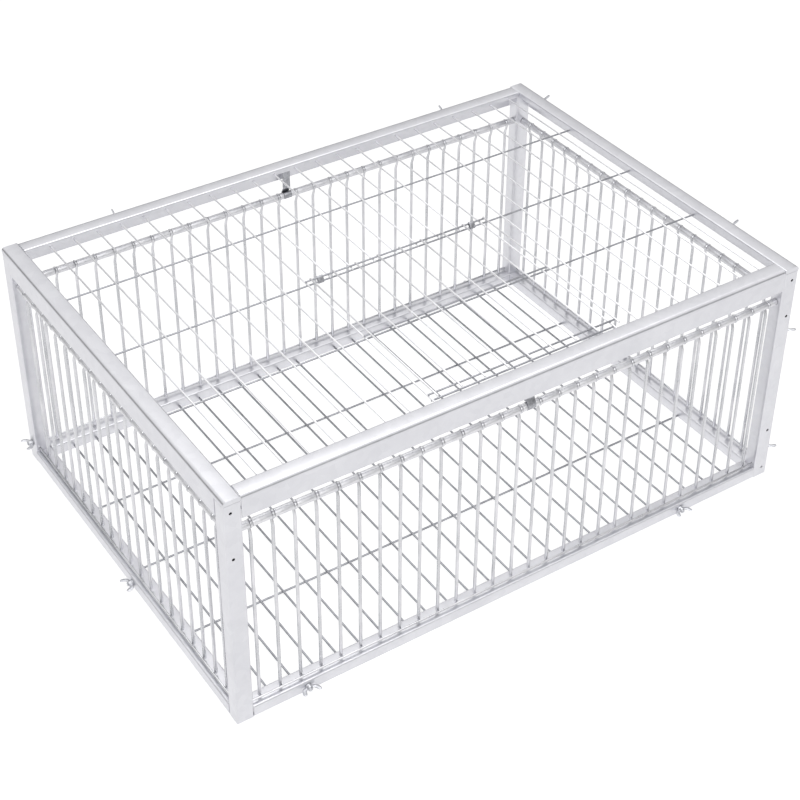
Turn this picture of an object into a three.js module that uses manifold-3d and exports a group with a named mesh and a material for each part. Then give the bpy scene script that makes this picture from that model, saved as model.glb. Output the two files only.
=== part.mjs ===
// Pigeon trap: a wire cage whose four walls are rows of hanging bob bars.
// Each bar swings inwards on a rod and rests outwards against a stop wire, so birds
// can push in but not out. Millimetres, +Z up, origin at the middle of the base.
import * as THREE from "three";
import { mergeVertices } from "three/addons/utils/BufferGeometryUtils.js";
import Module from "manifold-3d";

const wasm = await Module();
wasm.setup();

// Overall size over the sheet metal frame
const LENGTH = 850;
const DEPTH = 600;
const HEIGHT = 350;

// Sheet metal, and the gaps between pieces
const SHEET = 1.2;
const SEAM = 0.3;
const RUNNING_GAP = 0.3;
const OVERRUN = 2;
const BEND_STEPS = 3;

// Frame sections: one width for the lid flange, the posts' faces and the floor rails
const FRAME_WIDTH = 23;
const LID_WEB = 32;
const LID_LIP = 8;
const LID_BEND = 5;
const LIP_BEND = 2;
const POST_DEPTH = 20;
const POST_BEND = 2;
const LID_OVER_POST = 6.7;
const RAIL_HEIGHT = 17;
const RAIL_LIP = 6;
const RAIL_BEND = 2;

// Pivot rods and the straps that hold the long ones up at their middle
const ROD_D = 4;
const ROD_DROP = 54;
const ROD_INSET = 10.5;
const ROD_SEAT = 5;
const STRAP_WIDTH = 12;
const STRAP_SHEET = 1.5;
const STRAP_EYE_D = 11;
const STRAP_FOOT = 8;

// Bob bars, hung in gangs from a sleeve that turns on the rod and keeps their pitch
const BAR_D = 4.5;
const LONG_WALL_GANG_COUNTS = [5, 4, 5, 5, 4, 5];
const SHORT_WALL_GANG_COUNTS = [5, 5, 4, 5];
const LONG_ROW_SHARE = 1;
const SHORT_ROW_SHARE = 0.9742;
const SLEEVE_D = 12;
const GANG_GAP = 0.4;
const BAR_TIP_GAP = 2.5;

// Stop wires, in front of the bars' lower ends
const STOP_D = 3;
const STOP_RISE = 3;

// Wire meshes of the lid and the floor. The lid's mesh keeps its field size, and its first
// short and long wire have their own inset from the left and the front flange.
const LID_WIRE_D = 2.5;
const LID_FIELD_WIDTH = 34;
const LID_FIELD_DEPTH = 138;
const LID_SHORT_WIRE_INSET = 36;
const LID_LONG_WIRE_INSET = 155.5;
const LID_EDGE_GAP = 4;
const LID_WIRE_TOP_DROP = 4.9;
const WELD_SINK = 0.6;
const FLOOR_WIRE_D = 3;
const FLOOR_FIELD_COUNT = 24;
const FLOOR_WIRE_RISE = 1.7;
const FLOOR_LONG_WIRE_SHARES = [-0.5, 0, 0.5];

// Hole in the lid mesh, between two short wires counted from the left and in front of a long
// wire counted from the front; a wire of its own runs along the hole's front
const HOLE_LEFT_WIRE_COUNT = 8;
const HOLE_RIGHT_WIRE_COUNT = 16;
const HINGE_WIRE_COUNT = 2;
const HOLE_FRONT_INSET = 11;

// Top door, a mesh of the same wire that lies over the hole. Its short wires lie a little to
// the right of the lid's and reach past its front wire.
const DOOR_SHIFT = 6.5;
const DOOR_FIELD_DEPTH = 139.5;
const DOOR_HINGE_SETBACK = 3;
const DOOR_OVERHANG = 10;
const DOOR_REST_GAP = 0.3;
const CLIP_WIDTH = 8;
const CLIP_SHEET = 0.8;

// Bolts with wing nuts
const BOLT_D = 5;
const HEAD_D = 9;
const HEAD_HEIGHT = 2.6;
const HUB_D = 9;
const HUB_HEIGHT = 6;
const WING_REACH = 13.5;
const WING_RISE = 13.4;
const WING_BLADE = 2;
const WING_ROOT_SHARE = 0.3;
const WING_TIP_SHARE = 0.55;
const LID_BOLT_DROP = 14;
const LID_LONG_BOLT_SHARES = [-0.656, 0.612];
const LID_SHORT_BOLT_SHARES = [-0.57, 0.827];
const RAIL_LONG_BOLT_SHARES = [-0.768, 0.626];
const RAIL_SHORT_BOLT_SHARE = 0.073;
const POST_BOLT_LOW = 44;
const POST_BOLT_DROP = 99;
const POST_BOLT_FOOT = 28;

// Small holes in the front posts, counted down from a post's top or up from the floor
const PIN_HOLE_D = 4;
const LEFT_PIN_DROPS = [80, 12];
const RIGHT_PIN_DROPS = [70, 13];
const RIGHT_PIN_RISES = [14, 80];
const PIN_SIDE_SHARE = 0.1;

// Facets round each kind of bar
const ROUND_SIDES = 8;
const BAR_SIDES = 6;
const SQUARE_SIDES = 4;

// Worked out from the sizes above
const CLEAR_X = LENGTH / 2 - FRAME_WIDTH;
const CLEAR_Y = DEPTH / 2 - FRAME_WIDTH;
const POST_CLEAR_Y = DEPTH / 2 - POST_DEPTH;
const POST_TOP = HEIGHT - LID_OVER_POST;
const POST_BOLT_HIGH = POST_TOP - POST_BOLT_DROP;
const ROD_Z = HEIGHT - ROD_DROP;
const BAR_LENGTH = ROD_Z - RAIL_HEIGHT - BAR_TIP_GAP;
const STOP_Z = RAIL_HEIGHT + STOP_RISE + STOP_D / 2;
const STOP_INSET = ROD_INSET - BAR_D / 2 - RUNNING_GAP - STOP_D / 2;
const WEB_BOLT_Z = HEIGHT - LID_BOLT_DROP;
const RAIL_BOLT_Z = RAIL_HEIGHT / 2;
const LID_SHORT_WIRE_Z = HEIGHT - LID_WIRE_TOP_DROP - LID_WIRE_D / 2;
const LID_LONG_WIRE_Z = LID_SHORT_WIRE_Z - LID_WIRE_D + WELD_SINK;
const FLOOR_LONG_WIRE_Z = FLOOR_WIRE_RISE + FLOOR_WIRE_D / 2;
const FLOOR_SHORT_WIRE_Z = FLOOR_LONG_WIRE_Z + FLOOR_WIRE_D - WELD_SINK;
const DOOR_Z = LID_SHORT_WIRE_Z + LID_WIRE_D + DOOR_REST_GAP;
const LID_SHORT_WIRE_COUNT = fieldCount(CLEAR_X, LID_SHORT_WIRE_INSET, LID_FIELD_WIDTH) + 1;
const LID_LONG_WIRE_COUNT = fieldCount(CLEAR_Y, LID_LONG_WIRE_INSET, LID_FIELD_DEPTH) + 1;

// A wall of the cage, seen from outside with +X to its right: how far its outer face is
// from the middle, the clear way from there to a post, its gangs of bars and their pitch
const LONG_WALL = {
  half: DEPTH / 2,
  clear: CLEAR_X,
  gangs: LONG_WALL_GANG_COUNTS,
  pitch: (2 * CLEAR_X * LONG_ROW_SHARE) / total(LONG_WALL_GANG_COUNTS),
  strap: true,
};
const SHORT_WALL = {
  half: LENGTH / 2,
  clear: POST_CLEAR_Y,
  gangs: SHORT_WALL_GANG_COUNTS,
  pitch: (2 * POST_CLEAR_Y * SHORT_ROW_SHARE) / total(SHORT_WALL_GANG_COUNTS),
  strap: false,
};

const zinc = new THREE.MeshStandardMaterial({ color: 0xdcdce2, roughness: 0.45, metalness: 0.6 });
const bright = new THREE.MeshStandardMaterial({ color: 0xe4e4e6, roughness: 0.35, metalness: 0.7 });
const wire = new THREE.MeshStandardMaterial({ color: 0x8c8c90, roughness: 0.5, metalness: 0.6 });
const steel = new THREE.MeshStandardMaterial({ color: 0xb4b4ba, roughness: 0.4, metalness: 0.8 });

function total(numbers) {
  return numbers.reduce((sum, number) => sum + number);
}

// The whole numbers from 1 to n
function count(n) {
  return Array.from({ length: n }, (_, i) => i + 1);
}

// Whole fields of the lid mesh behind its first wire, across a clear way of twice half
function fieldCount(half, inset, field) {
  return Math.floor((2 * half - inset - LID_EDGE_GAP) / field);
}

function at(x, y) {
  return new THREE.Vector2(x, y);
}

// Solids: a closed geometry becomes a solid that can be joined and cut
function solidOf(geometry) {
  const bare = geometry.clone();
  bare.deleteAttribute("normal");
  bare.deleteAttribute("uv");
  const merged = mergeVertices(bare);
  const vertProperties = new Float32Array(merged.attributes.position.array);
  const triVerts = new Uint32Array(merged.index.array);
  return new wasm.Manifold(new wasm.Mesh({ numProp: 3, vertProperties, triVerts }));
}

function geometryOf(solid) {
  const out = solid.getMesh();
  const geometry = new THREE.BufferGeometry();
  geometry.setAttribute("position", new THREE.BufferAttribute(out.vertProperties.slice(), out.numProp));
  geometry.setIndex(new THREE.BufferAttribute(out.triVerts.slice(), 1));
  geometry.computeVertexNormals();
  return geometry;
}

function joined(solids) {
  return solids.reduce((whole, next) => whole.add(next));
}

function cutAll(solid, cuts) {
  return cuts.reduce((left, cut) => left.subtract(cut), solid);
}

function namedMesh(name, solid, material) {
  const mesh = new THREE.Mesh(geometryOf(solid), material);
  mesh.name = name;
  return mesh;
}

// A box from its lowest to its highest corner
function box(low, high) {
  const size = high.map((value, axis) => value - low[axis]);
  const middle = high.map((value, axis) => (value + low[axis]) / 2);
  return solidOf(new THREE.BoxGeometry(...size).translate(...middle));
}

// A round bar, or a square one with flat top and bottom, along X, Y or Z
function barAlong(axis, diameter, start, end, at, sides) {
  const flat = sides === SQUARE_SIDES;
  const radius = diameter / 2 / (flat ? Math.cos(Math.PI / SQUARE_SIDES) : 1);
  const bar = new THREE.CylinderGeometry(radius, radius, end - start, sides);
  if (flat) bar.rotateY(Math.PI / SQUARE_SIDES);
  if (axis === "x") bar.rotateZ(-Math.PI / 2);
  if (axis === "z") bar.rotateX(Math.PI / 2);
  const middle = (start + end) / 2;
  const place = { x: [middle, at[0], at[1]], y: [at[0], middle, at[1]], z: [at[0], at[1], middle] };
  return solidOf(bar.translate(...place[axis]));
}

// The diameter of a many-sided bore whose flats clear a round bar by a gap
function boreOver(diameter, gap) {
  return (diameter + 2 * gap) / Math.cos(Math.PI / ROUND_SIDES);
}

function drill(axis, diameter, start, end, at) {
  return barAlong(axis, boreOver(diameter, RUNNING_GAP), start, end, at, ROUND_SIDES);
}

// The outline of a bent strip of sheet. Its outer side runs through the points with a round
// bend at each corner, every bend turns left, and the sheet lies on the left of the line.
function foldedStrip(points, bends, sheet) {
  const runs = points.slice(1).map((p, i) => p.clone().sub(points[i]).normalize());
  const left = (d) => new THREE.Vector2(-d.y, d.x);
  const corners = bends.map((bend, i) => {
    const into = runs[i];
    const out = runs[i + 1];
    const centre = points[i + 1].clone().addScaledVector(into, -bend).addScaledVector(out, bend);
    return { centre, bend, from: left(into).negate().angle(), to: left(out).negate().angle() };
  });
  const shape = new THREE.Shape();
  shape.moveTo(points[0].x, points[0].y);
  corners.forEach((c) => shape.absarc(c.centre.x, c.centre.y, c.bend, c.from, c.to, false));
  const last = points.at(-1);
  const tail = last.clone().addScaledVector(left(runs.at(-1)), sheet);
  const nose = points[0].clone().addScaledVector(left(runs[0]), sheet);
  shape.lineTo(last.x, last.y);
  shape.lineTo(tail.x, tail.y);
  corners.reverse().forEach((c) => {
    shape.absarc(c.centre.x, c.centre.y, c.bend - sheet, c.to, c.from, true);
  });
  shape.lineTo(nose.x, nose.y);
  shape.closePath();
  return shape;
}

// Pushes a section, drawn as inward distance and height, along X from start to end
function alongX(shape, start, end) {
  const options = { depth: end - start, bevelEnabled: false, curveSegments: BEND_STEPS };
  const pushed = new THREE.ExtrudeGeometry(shape, options);
  const turn = new THREE.Matrix4().makeBasis(
    new THREE.Vector3(0, 1, 0),
    new THREE.Vector3(0, 0, 1),
    new THREE.Vector3(1, 0, 0),
  );
  return solidOf(pushed.applyMatrix4(turn).translate(start, 0, 0));
}

function lidSection() {
  const line = [at(FRAME_WIDTH, -LID_LIP), at(FRAME_WIDTH, 0), at(0, 0), at(0, -LID_WEB)];
  return foldedStrip(line, [LIP_BEND, LID_BEND], SHEET);
}

function railSection() {
  const low = FRAME_WIDTH - RAIL_LIP;
  const line = [at(low, 0), at(FRAME_WIDTH, 0), at(FRAME_WIDTH, RAIL_HEIGHT)];
  line.push(at(0, RAIL_HEIGHT), at(0, 0), at(RAIL_LIP, 0));
  return foldedStrip(line, [RAIL_BEND, RAIL_BEND, RAIL_BEND, RAIL_BEND], SHEET);
}

// The closed face at each end of a full-depth lid member, over the post
function lidEndSection() {
  const shape = new THREE.Shape();
  const low = SEAM - LID_OVER_POST;
  shape.moveTo(0, low);
  shape.lineTo(FRAME_WIDTH, low);
  shape.absarc(FRAME_WIDTH - LIP_BEND, -LIP_BEND, LIP_BEND, 0, Math.PI / 2, false);
  shape.absarc(LID_BEND, -LID_BEND, LID_BEND, Math.PI / 2, Math.PI, false);
  shape.closePath();
  return shape;
}

// Holes for bolts through the outer sheet of a wall, at places along it
function boltHoles(places, z) {
  return places.map((s) => drill("y", BOLT_D, -OVERRUN, SHEET + OVERRUN, [s, z]));
}

// Lid member between the two full-depth ones, on the front and back
function longLidMember(name, boltPlaces) {
  const reach = CLEAR_X - SEAM;
  const member = alongX(lidSection(), -reach, reach);
  return namedMesh(name, cutAll(member, boltHoles(boltPlaces, -LID_BOLT_DROP)), zinc);
}

// Full-depth lid member: its web and lip stop at the posts, and its top runs over them
function shortLidMember(name, boltPlaces) {
  const reach = DEPTH / 2;
  const member = alongX(lidSection(), -reach, reach);
  const inner = POST_CLEAR_Y - SEAM;
  const low = -LID_WEB - OVERRUN;
  const notchTop = SEAM - LID_OVER_POST;
  const wide = FRAME_WIDTH + OVERRUN;
  const notches = [
    box([-reach - OVERRUN, -OVERRUN, low], [-inner, wide, notchTop]),
    box([inner, -OVERRUN, low], [reach + OVERRUN, wide, notchTop]),
  ];
  const ends = [
    alongX(lidEndSection(), -reach, -reach + SHEET),
    alongX(lidEndSection(), reach - SHEET, reach),
  ];
  const cut = cutAll(member, [...notches, ...boltHoles(boltPlaces, -LID_BOLT_DROP)]);
  return namedMesh(name, joined([cut, ...ends]), zinc);
}

// Floor rail between two posts
function floorRail(name, wall, boltPlaces) {
  const reach = wall.clear - SEAM;
  const rail = alongX(railSection(), -reach, reach);
  return namedMesh(name, cutAll(rail, boltHoles(boltPlaces, RAIL_BOLT_Z)), zinc);
}

// Corner post, a folded square tube. Its inner walls hold the ends of two pivot rods and two
// stop wires; sideX and sideY are -1 or 1 and say which corner it stands in.
function cornerPost(name, sideX, sideY, boltHeights, pinHeights) {
  const halfX = FRAME_WIDTH / 2;
  const halfY = POST_DEPTH / 2;
  const outline = new THREE.Shape();
  const roundX = halfX - POST_BEND;
  const roundY = halfY - POST_BEND;
  outline.absarc(roundX, roundY, POST_BEND, 0, Math.PI / 2, false);
  outline.absarc(-roundX, roundY, POST_BEND, Math.PI / 2, Math.PI, false);
  outline.absarc(-roundX, -roundY, POST_BEND, Math.PI, (3 * Math.PI) / 2, false);
  outline.absarc(roundX, -roundY, POST_BEND, (3 * Math.PI) / 2, 2 * Math.PI, false);
  outline.closePath();
  const bore = new THREE.Path();
  const wallX = halfX - SHEET;
  const wallY = halfY - SHEET;
  bore.moveTo(-wallX, -wallY);
  bore.lineTo(-wallX, wallY);
  bore.lineTo(wallX, wallY);
  bore.lineTo(wallX, -wallY);
  bore.closePath();
  outline.holes.push(bore);
  const options = { depth: POST_TOP, bevelEnabled: false, curveSegments: BEND_STEPS };
  const tube = solidOf(new THREE.ExtrudeGeometry(outline, options));

  const innerX = sideX < 0 ? [wallX - OVERRUN, halfX + OVERRUN] : [-halfX - OVERRUN, OVERRUN - wallX];
  const innerY = sideY < 0 ? [wallY - OVERRUN, halfY + OVERRUN] : [-halfY - OVERRUN, OVERRUN - wallY];
  const outerX = sideX < 0 ? [-halfX - OVERRUN, OVERRUN - wallX] : [wallX - OVERRUN, halfX + OVERRUN];
  const rodY = sideY * (halfY - ROD_INSET);
  const rodX = sideX * (halfX - ROD_INSET);
  const stopY = sideY * (halfY - STOP_INSET);
  const stopX = sideX * (halfX - STOP_INSET);
  const pinX = sideX * FRAME_WIDTH * PIN_SIDE_SHARE;
  const cuts = [
    drill("x", ROD_D, ...innerX, [rodY, ROD_Z]),
    drill("y", ROD_D, ...innerY, [rodX, ROD_Z]),
    drill("x", STOP_D, ...innerX, [stopY, STOP_Z]),
    drill("y", STOP_D, ...innerY, [stopX, STOP_Z]),
    ...boltHeights.map((z) => drill("x", BOLT_D, ...outerX, [0, z])),
    ...pinHeights.map((z) => {
      return barAlong("y", PIN_HOLE_D, -halfY - OVERRUN, OVERRUN - wallY, [pinX, z], ROUND_SIDES);
    }),
  ];
  const post = namedMesh(name, cutAll(tube, cuts), zinc);
  post.position.set(sideX * (LENGTH / 2 - halfX), sideY * (DEPTH / 2 - halfY), 0);
  return post;
}

// Pivot rod from post to post
function pivotRod(name, wall) {
  const reach = wall.clear + ROD_SEAT;
  const rod = namedMesh(name, barAlong("x", ROD_D, -reach, reach, [0, 0], ROUND_SIDES), bright);
  rod.position.set(0, ROD_INSET - wall.half, ROD_Z);
  return rod;
}

// Stop wire from post to post, just outside the bars' lower ends
function stopWire(name, wall) {
  const reach = wall.clear + ROD_SEAT;
  const stop = namedMesh(name, barAlong("x", STOP_D, -reach, reach, [0, 0], ROUND_SIDES), bright);
  stop.position.set(0, STOP_INSET - wall.half, STOP_Z);
  return stop;
}

// Strap that carries the middle of a long rod: an eye round the rod, an upright and a foot
// under the lid's flange
function rodStrap(name, wall) {
  const side = STRAP_WIDTH / 2;
  const top = ROD_DROP - SHEET - SEAM;
  const thick = STRAP_SHEET / 2;
  const footIn = thick + STRAP_FOOT;
  const strap = joined([
    barAlong("x", STRAP_EYE_D, -side, side, [0, 0], ROUND_SIDES),
    box([-side, -thick, 0], [side, thick, top]),
    box([-side, -thick, top - STRAP_SHEET], [side, footIn, top]),
  ]);
  const bore = drill("x", ROD_D, -side - OVERRUN, side + OVERRUN, [0, 0]);
  const mesh = namedMesh(name, strap.subtract(bore), steel);
  mesh.position.set(0, ROD_INSET - wall.half, ROD_Z);
  return mesh;
}

// A gang of bob bars: a sleeve on the rod with the bars hanging from it.
// places are the bars along the wall; start and end are the gang's ends on the rod.
function bobGang(name, wall, places, start, end) {
  const middle = (start + end) / 2;
  const bars = places.map((s) => {
    const top = -(ROD_D / 2 + RUNNING_GAP);
    return barAlong("z", BAR_D, -BAR_LENGTH, top, [s - middle, 0], BAR_SIDES);
  });
  const sleeve = barAlong("x", SLEEVE_D, start - middle, end - middle, [0, 0], ROUND_SIDES);
  const bore = drill("x", ROD_D, start - middle - OVERRUN, end - middle + OVERRUN, [0, 0]);
  const gang = namedMesh(name, joined([sleeve, ...bars]).subtract(bore), bright);
  gang.position.set(middle, ROD_INSET - wall.half, ROD_Z);
  return gang;
}

// Splits a wall's bars into gangs; the two beside a strap in its middle stop short of it
function wallGangs(title, wall) {
  const first = (-wall.pitch * (total(wall.gangs) + 1)) / 2;
  const half = wall.pitch / 2 - GANG_GAP;
  const strapHalf = STRAP_WIDTH / 2 + RUNNING_GAP;
  const rightOfStrap = wall.gangs.length / 2;
  let used = 0;
  return wall.gangs.map((bars, g) => {
    const before = used;
    used += bars;
    const places = count(bars).map((i) => first + (before + i) * wall.pitch);
    let start = places[0] - half;
    let end = places.at(-1) + half;
    if (g === 0) start = GANG_GAP - wall.clear;
    if (g === wall.gangs.length - 1) end = wall.clear - GANG_GAP;
    if (wall.strap && g === rightOfStrap - 1) end = -strapHalf;
    if (wall.strap && g === rightOfStrap) start = strapHalf;
    return bobGang(`${title}_bob_gang_${g + 1}`, wall, places, start, end);
  });
}

// Bolt with a wing nut, through the outer sheet of a wall whose face is at y = 0 here:
// the head is inside, the nut outside with its wings along the wall, turned by an angle
function wingFastener(name, turn) {
  const face = -SEAM;
  const seat = SHEET + SEAM;
  const tip = face - WING_RISE;
  const root = face - HUB_HEIGHT * WING_ROOT_SHARE;
  const wing = new THREE.Shape();
  wing.moveTo(0, root);
  wing.lineTo(HUB_D / 2, root);
  wing.lineTo(WING_REACH, tip * WING_TIP_SHARE);
  wing.lineTo(WING_REACH, tip);
  wing.lineTo(WING_REACH * WING_TIP_SHARE, tip);
  wing.lineTo(0, face - HUB_HEIGHT);
  wing.closePath();
  const options = { depth: WING_BLADE, bevelEnabled: false };
  const blade = new THREE.ExtrudeGeometry(wing, options).translate(0, 0, -WING_BLADE / 2);
  const right = solidOf(blade);
  const left = solidOf(blade.clone().rotateY(Math.PI));
  const shank = barAlong("y", BOLT_D, face - HUB_HEIGHT, seat + HEAD_HEIGHT, [0, 0], ROUND_SIDES);
  const head = barAlong("y", HEAD_D, seat, seat + HEAD_HEIGHT, [0, 0], ROUND_SIDES);
  const hub = barAlong("y", HUB_D, face - HUB_HEIGHT, face, [0, 0], ROUND_SIDES);
  const fastener = namedMesh(name, joined([shank, head, hub, right, left]), steel);
  fastener.rotation.y = turn;
  return fastener;
}

function placedFastener(name, wall, s, z) {
  const fastener = wingFastener(name, z === WEB_BOLT_Z ? Math.PI / 2 : 0);
  fastener.position.set(s, -wall.half, z);
  return fastener;
}

// Where the lid's short wires cross its length, counted from the left flange
function lidWireX(index) {
  return LID_SHORT_WIRE_INSET - CLEAR_X + (index - 1) * LID_FIELD_WIDTH;
}

// Where its long wires cross its depth, counted from the front flange
function lidWireY(index) {
  return LID_LONG_WIRE_INSET - CLEAR_Y + (index - 1) * LID_FIELD_DEPTH;
}

// Lid mesh between the flange lips. In front of the hinge wire the short wires over the hole
// are cut away, and the long wire there is left whole.
function lidMesh() {
  const hingeY = lidWireY(HINGE_WIRE_COUNT);
  const reachX = CLEAR_X - SEAM;
  const reachY = CLEAR_Y - SEAM;
  const half = LID_WIRE_D / 2;
  const short = count(LID_SHORT_WIRE_COUNT).map((i) => {
    const cutAway = i > HOLE_LEFT_WIRE_COUNT && i < HOLE_RIGHT_WIRE_COUNT;
    const start = cutAway ? hingeY - half : -reachY;
    return barAlong("y", LID_WIRE_D, start, reachY, [lidWireX(i), LID_SHORT_WIRE_Z], SQUARE_SIDES);
  });
  const long = count(LID_LONG_WIRE_COUNT).map((i) => {
    const place = [lidWireY(i), LID_LONG_WIRE_Z];
    return barAlong("x", LID_WIRE_D, -reachX, reachX, place, SQUARE_SIDES);
  });
  const left = lidWireX(HOLE_LEFT_WIRE_COUNT) - half;
  const right = lidWireX(HOLE_RIGHT_WIRE_COUNT) + half;
  const front = [HOLE_FRONT_INSET - CLEAR_Y, LID_LONG_WIRE_Z];
  const edge = barAlong("x", LID_WIRE_D, left, right, front, SQUARE_SIDES);
  return namedMesh("lid_mesh", joined([...short, ...long, edge]), wire);
}

// Floor mesh between the inner webs of the floor rails
function floorMesh() {
  const reachX = CLEAR_X - SEAM;
  const reachY = CLEAR_Y - SEAM;
  const pitch = (2 * CLEAR_X) / FLOOR_FIELD_COUNT;
  const short = count(FLOOR_FIELD_COUNT - 1).map((i) => {
    const x = i * pitch - CLEAR_X;
    return barAlong("y", FLOOR_WIRE_D, -reachY, reachY, [x, FLOOR_SHORT_WIRE_Z], SQUARE_SIDES);
  });
  const long = FLOOR_LONG_WIRE_SHARES.map((share) => {
    const place = [CLEAR_Y * share, FLOOR_LONG_WIRE_Z];
    return barAlong("x", FLOOR_WIRE_D, -reachX, reachX, place, SQUARE_SIDES);
  });
  return namedMesh("floor_mesh", joined([...short, ...long]), wire);
}

// Top door: two fields of mesh deep, with its short wires on top. It is built about its rear
// long wire, the round one that it turns on, and its long wires rest on the wires beside the
// hole.
function topDoor() {
  const half = LID_WIRE_D / 2;
  const left = lidWireX(HOLE_LEFT_WIRE_COUNT) - half;
  const right = lidWireX(HOLE_RIGHT_WIRE_COUNT) + DOOR_SHIFT + half;
  const front = -2 * DOOR_FIELD_DEPTH;
  const pieces = [front, -DOOR_FIELD_DEPTH].map((y) => {
    return barAlong("x", LID_WIRE_D, left, right, [y, 0], SQUARE_SIDES);
  });
  pieces.push(barAlong("x", LID_WIRE_D, left, right, [0, 0], ROUND_SIDES));
  for (let i = HOLE_LEFT_WIRE_COUNT; i <= HOLE_RIGHT_WIRE_COUNT; i += 1) {
    const place = [lidWireX(i) + DOOR_SHIFT, LID_WIRE_D - WELD_SINK];
    pieces.push(barAlong("y", LID_WIRE_D, front - DOOR_OVERHANG, half, place, SQUARE_SIDES));
  }
  const door = namedMesh("top_door", joined(pieces), wire);
  door.position.set(0, lidWireY(HINGE_WIRE_COUNT) + DOOR_HINGE_SETBACK, DOOR_Z);
  return door;
}

// Hinge clip: a strip of sheet crimped round the lid's hinge wire and the door's rear wire,
// in the way between a door wire and the next short wire of the lid on its right
function hingeClip(name, doorWire) {
  const drop = DOOR_Z - LID_LONG_WIRE_Z;
  const across = Math.hypot(DOOR_HINGE_SETBACK, drop);
  const tilt = Math.atan2(drop, DOOR_HINGE_SETBACK);
  const ringShape = (radius) => {
    const shape = new THREE.Shape();
    shape.absarc(0, 0, radius, Math.PI / 2, (3 * Math.PI) / 2, false);
    shape.absarc(across, 0, radius, -Math.PI / 2, Math.PI / 2, false);
    shape.closePath();
    return shape;
  };
  const inner = LID_WIRE_D / 2 / Math.cos(Math.PI / SQUARE_SIDES) + RUNNING_GAP;
  const side = CLIP_WIDTH / 2;
  const wrap = alongX(ringShape(inner + CLIP_SHEET), -side, side);
  const bore = alongX(ringShape(inner), -side - OVERRUN, side + OVERRUN);
  const clip = namedMesh(name, wrap.subtract(bore), steel);
  const x = lidWireX(doorWire) + (DOOR_SHIFT + LID_FIELD_WIDTH) / 2;
  clip.rotation.x = tilt;
  clip.position.set(x, lidWireY(HINGE_WIRE_COUNT), LID_LONG_WIRE_Z);
  return clip;
}

// A wall: its pieces are built as the front wall and turned to their side of the cage
function wallGroup(turn, meshes) {
  const group = new THREE.Group();
  group.rotation.z = turn;
  group.add(...meshes);
  return group;
}

function onLidEdge(mesh, wall) {
  mesh.position.set(0, -wall.half, HEIGHT);
  return mesh;
}

function onFloor(mesh, wall) {
  mesh.position.set(0, -wall.half, 0);
  return mesh;
}

const longLidBolts = LID_LONG_BOLT_SHARES.map((share) => (LENGTH / 2) * share);
const shortLidBolts = LID_SHORT_BOLT_SHARES.map((share) => (DEPTH / 2) * share);
const longRailBolts = RAIL_LONG_BOLT_SHARES.map((share) => (LENGTH / 2) * share);
const shortRailBolt = (DEPTH / 2) * RAIL_SHORT_BOLT_SHARE;
const postPlace = DEPTH / 2 - POST_DEPTH / 2;

const leftPins = LEFT_PIN_DROPS.map((drop) => POST_TOP - drop);
const rightPins = [...RIGHT_PIN_RISES, ...RIGHT_PIN_DROPS.map((drop) => POST_TOP - drop)];

const trap = new THREE.Group();

trap.add(wallGroup(0, [
  onLidEdge(longLidMember("lid_front_member", []), LONG_WALL),
  onFloor(floorRail("front_floor_rail", LONG_WALL, longRailBolts), LONG_WALL),
  pivotRod("front_pivot_rod", LONG_WALL),
  stopWire("front_stop_wire", LONG_WALL),
  rodStrap("front_rod_strap", LONG_WALL),
  ...wallGangs("front", LONG_WALL),
  placedFastener("front_wing_bolt_1", LONG_WALL, longRailBolts[0], RAIL_BOLT_Z),
  placedFastener("front_wing_bolt_2", LONG_WALL, longRailBolts[1], RAIL_BOLT_Z),
]));

trap.add(wallGroup(Math.PI, [
  onLidEdge(longLidMember("lid_back_member", longLidBolts), LONG_WALL),
  onFloor(floorRail("back_floor_rail", LONG_WALL, longRailBolts), LONG_WALL),
  pivotRod("back_pivot_rod", LONG_WALL),
  stopWire("back_stop_wire", LONG_WALL),
  rodStrap("back_rod_strap", LONG_WALL),
  ...wallGangs("back", LONG_WALL),
  placedFastener("back_top_wing_bolt_1", LONG_WALL, longLidBolts[0], WEB_BOLT_Z),
  placedFastener("back_top_wing_bolt_2", LONG_WALL, longLidBolts[1], WEB_BOLT_Z),
  placedFastener("back_low_wing_bolt_1", LONG_WALL, longRailBolts[0], RAIL_BOLT_Z),
  placedFastener("back_low_wing_bolt_2", LONG_WALL, longRailBolts[1], RAIL_BOLT_Z),
]));

trap.add(wallGroup(Math.PI / 2, [
  onLidEdge(shortLidMember("lid_right_member", shortLidBolts), SHORT_WALL),
  onFloor(floorRail("right_floor_rail", SHORT_WALL, []), SHORT_WALL),
  pivotRod("right_pivot_rod", SHORT_WALL),
  stopWire("right_stop_wire", SHORT_WALL),
  ...wallGangs("right", SHORT_WALL),
  placedFastener("right_top_wing_bolt_1", SHORT_WALL, shortLidBolts[0], WEB_BOLT_Z),
  placedFastener("right_top_wing_bolt_2", SHORT_WALL, shortLidBolts[1], WEB_BOLT_Z),
  placedFastener("right_post_wing_bolt_low", SHORT_WALL, -postPlace, POST_BOLT_LOW),
  placedFastener("right_post_wing_bolt_high", SHORT_WALL, -postPlace, POST_BOLT_HIGH),
]));

trap.add(wallGroup(-Math.PI / 2, [
  onLidEdge(shortLidMember("lid_left_member", []), SHORT_WALL),
  onFloor(floorRail("left_floor_rail", SHORT_WALL, [shortRailBolt]), SHORT_WALL),
  pivotRod("left_pivot_rod", SHORT_WALL),
  stopWire("left_stop_wire", SHORT_WALL),
  ...wallGangs("left", SHORT_WALL),
  placedFastener("left_wing_bolt", SHORT_WALL, shortRailBolt, RAIL_BOLT_Z),
  placedFastener("left_post_wing_bolt", SHORT_WALL, -postPlace, POST_BOLT_FOOT),
]));

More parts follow.
